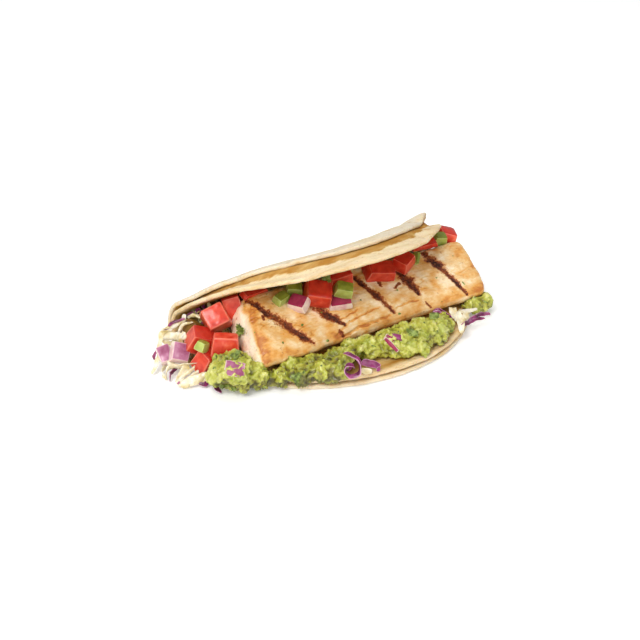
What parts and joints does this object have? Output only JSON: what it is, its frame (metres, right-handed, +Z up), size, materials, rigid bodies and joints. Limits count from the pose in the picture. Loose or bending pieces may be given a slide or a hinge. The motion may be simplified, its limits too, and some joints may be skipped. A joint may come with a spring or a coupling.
{
  "type": "soft taco with grilled fillet",
  "caption": "Soft double-tortilla taco lying folded on its side, filled with a grilled fillet, guacamole, cabbage salad, diced tomato, onion and green pepper.",
  "frame": {"origin": "middle of the flat underside on which the taco rests", "axes": "+X along the fold, from the spilling left end to the right end; +Y from the open mouth to the fold at the back; +Z up"},
  "size_m": [0.1669, 0.0875, 0.0485],
  "materials": {
    "maize_tortilla": "soft griddled maize tortilla, cream with faint brown flecks, matt",
    "grilled_white_flesh": "grilled white fillet, golden with reddish brown grill marks, moist",
    "mashed_avocado": "mashed avocado, yellow green, wet gloss",
    "tomato_flesh": "raw tomato, translucent red, wet gloss",
    "red_onion": "raw red onion, purple skin and pale pink flesh, translucent",
    "green_pepper": "raw green pepper, olive to yellow green, gloss",
    "shredded_cabbage": "shredded white and red cabbage, pale with purple edges, wet"
  },
  "bodies": {
    "root": {"tortilla_outer": "maize_tortilla", "tortilla_inner": "maize_tortilla", "grilled_fillet": "grilled_white_flesh", "guacamole": "mashed_avocado", "guacamole_right": "mashed_avocado", "cabbage_salad": "shredded_cabbage", "cabbage_front": "shredded_cabbage", "cabbage_right": "shredded_cabbage", "tomato_01": "tomato_flesh", "tomato_02": "tomato_flesh", "tomato_03": "tomato_flesh", "tomato_04": "tomato_flesh", "tomato_05": "tomato_flesh", "tomato_06": "tomato_flesh", "tomato_07": "tomato_flesh", "tomato_08": "tomato_flesh", "tomato_09": "tomato_flesh", "tomato_10": "tomato_flesh", "tomato_11": "tomato_flesh", "tomato_12": "tomato_flesh", "onion_01": "red_onion", "onion_02": "red_onion", "onion_03": "red_onion", "onion_04": "red_onion", "onion_05": "red_onion", "pepper_01": "green_pepper", "pepper_02": "green_pepper", "pepper_03": "green_pepper", "pepper_04": "green_pepper", "pepper_05": "green_pepper", "pepper_06": "green_pepper", "pepper_07": "green_pepper"}
  },
  "joints": []
}
